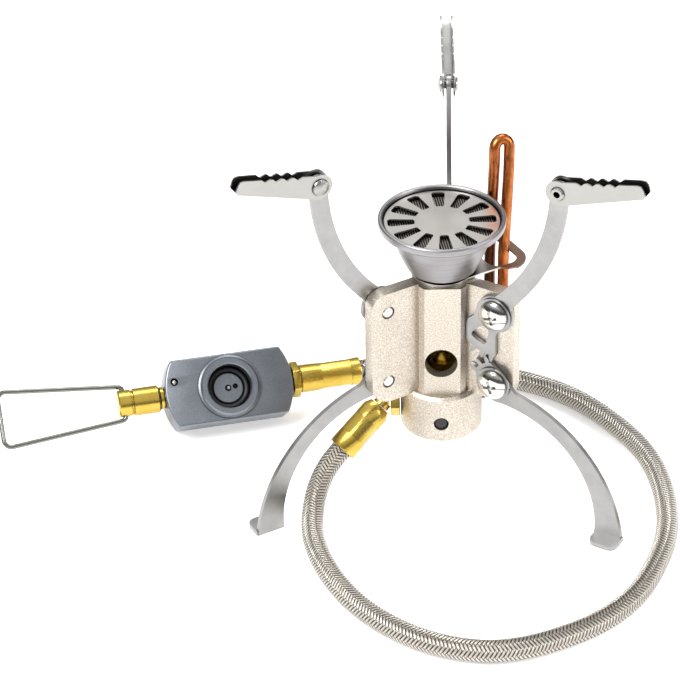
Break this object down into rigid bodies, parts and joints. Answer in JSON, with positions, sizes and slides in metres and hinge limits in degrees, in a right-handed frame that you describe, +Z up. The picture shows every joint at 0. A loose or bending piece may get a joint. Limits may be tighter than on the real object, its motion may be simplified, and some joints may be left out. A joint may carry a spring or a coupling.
{
  "type": "remote canister stove",
  "caption": "Folding camping burner on geared legs with swing-out pot supports and a copper preheat tube, fed through a braided hose from a canister adapter with a valve knob.",
  "frame": {"origin": "ground point under the middle of the stove's own box, measured without the hose and the adapter on it", "axes": "+Z up along the burner axis, -Y towards the body's air hole, +X towards the preheat tube's side"},
  "size_m": [0.2215, 0.1687, 0.133],
  "materials": {
    "bead_blasted_alloy": "bead-blasted warm nickel finish with a fine sparkle",
    "turned_aluminium": "satin, fine turned lines",
    "bright_stainless": "bright, lightly brushed",
    "dark_mesh": "dark fine wire mesh",
    "satin_steel": "satin grey with bright stamped edges",
    "chrome_screw": "polished plating",
    "copper_tube": "copper tube, heat-mottled",
    "yellow_brass": "bright machined brass",
    "black_steel": "black oxide",
    "braided_wire": "woven steel-wire braid",
    "anodised_blue_grey": "anodised blue-grey",
    "black_rubber": "matte",
    "spring_wire": "drawn spring wire"
  },
  "bodies": {
    "stove_body": {"body_casting": "bead_blasted_alloy", "set_screw": "black_steel", "jet_nozzle": "yellow_brass", "burner_cup": "turned_aluminium", "burner_grille": "bright_stainless", "burner_gauze": "dark_mesh", "tube_bracket": "bright_stainless", "preheat_tube": "copper_tube", "inlet_hex_nut": "yellow_brass", "inlet_elbow": "yellow_brass", "stove_ferrule": "yellow_brass", "braided_hose": "braided_wire", "adapter_ferrule": "yellow_brass", "adapter_hex_nut": "yellow_brass", "adapter_body": "anodised_blue_grey", "adapter_seal": "black_rubber", "valve_core": "anodised_blue_grey", "depressor_pin": "chrome_screw", "stop_pin": "chrome_screw", "valve_collar": "yellow_brass", "upper_screw_1": "chrome_screw", "lower_screw_1": "chrome_screw", "upper_washer_1": "satin_steel", "lower_washer_1": "satin_steel", "upper_screw_2": "chrome_screw", "lower_screw_2": "chrome_screw", "upper_washer_2": "satin_steel", "lower_washer_2": "satin_steel", "upper_screw_3": "chrome_screw", "lower_screw_3": "chrome_screw", "upper_washer_3": "satin_steel", "lower_washer_3": "satin_steel"},
    "folding_arm_1": {"arm_1": "satin_steel", "support_rivet_1": "bright_stainless"},
    "folding_leg_1": {"leg_1": "satin_steel"},
    "folding_support_1": {"pot_support_1": "bright_stainless"},
    "folding_arm_2": {"arm_2": "satin_steel", "support_rivet_2": "bright_stainless"},
    "folding_leg_2": {"leg_2": "satin_steel"},
    "folding_support_2": {"pot_support_2": "bright_stainless"},
    "folding_arm_3": {"arm_3": "satin_steel", "support_rivet_3": "bright_stainless"},
    "folding_leg_3": {"leg_3": "satin_steel"},
    "folding_support_3": {"pot_support_3": "bright_stainless"},
    "control_knob": {"valve_knob": "yellow_brass"},
    "knob_bail": {"wire_bail": "spring_wire"}
  },
  "joints": [
    {"name": "arm_fold_1", "type": "hinge", "parent": "stove_body", "child": "folding_arm_1", "pos_m": [0.01975, -0.026, 0.0723], "axis": [-0.5, -0.866, 0], "range_deg": [0, 20]},
    {"name": "leg_fold_1", "type": "hinge", "parent": "stove_body", "child": "folding_leg_1", "pos_m": [0.01975, -0.026, 0.0463], "axis": [-0.5, -0.866, 0], "range_deg": [-40, 0]},
    {"name": "support_fold_1", "type": "hinge", "parent": "folding_arm_1", "child": "folding_support_1", "pos_m": [0.0382, -0.03665, 0.123], "axis": [-0.5, -0.866, 0], "range_deg": [0, 205]},
    {"name": "arm_fold_2", "type": "hinge", "parent": "stove_body", "child": "folding_arm_2", "pos_m": [-0.01645, -0.026, 0.0723], "axis": [-0.5, 0.866, 0], "range_deg": [0, 20], "deforming": ["braided_hose"]},
    {"name": "leg_fold_2", "type": "hinge", "parent": "stove_body", "child": "folding_leg_2", "pos_m": [-0.01645, -0.026, 0.0463], "axis": [-0.5, 0.866, 0], "range_deg": [-40, 0], "deforming": ["braided_hose"]},
    {"name": "support_fold_2", "type": "hinge", "parent": "folding_arm_2", "child": "folding_support_2", "pos_m": [-0.0349, -0.03665, 0.123], "axis": [-0.5, 0.866, 0], "range_deg": [0, 205]},
    {"name": "arm_fold_3", "type": "hinge", "parent": "stove_body", "child": "folding_arm_3", "pos_m": [0.00165, 0.00535, 0.0723], "axis": [1, 0, 0], "range_deg": [0, 20], "deforming": ["braided_hose"]},
    {"name": "leg_fold_3", "type": "hinge", "parent": "stove_body", "child": "folding_leg_3", "pos_m": [0.00165, 0.00535, 0.0463], "axis": [1, 0, 0], "range_deg": [-40, 0], "deforming": ["braided_hose"]},
    {"name": "support_fold_3", "type": "hinge", "parent": "folding_arm_3", "child": "folding_support_3", "pos_m": [0.00165, 0.02665, 0.123], "axis": [1, 0, 0], "range_deg": [0, 205]},
    {"name": "knob_turn", "type": "hinge", "parent": "stove_body", "child": "control_knob", "pos_m": [-0.09869, 0.00968, 0.01347], "axis": [0.9719, 0.2351, -0.0122], "range_deg": [0, 720]},
    {"name": "bail_swing", "type": "hinge", "parent": "control_knob", "child": "knob_bail", "pos_m": [-0.10297, 0.00864, 0.01353], "axis": [-0.1485, 0.6525, 0.7431], "range_deg": [-90, 90]}
  ],
  "couplings": [
    {"joint": "leg_fold_1", "follows": "arm_fold_1", "ratio": -2},
    {"joint": "leg_fold_2", "follows": "arm_fold_2", "ratio": -2},
    {"joint": "leg_fold_3", "follows": "arm_fold_3", "ratio": -2}
  ]
}
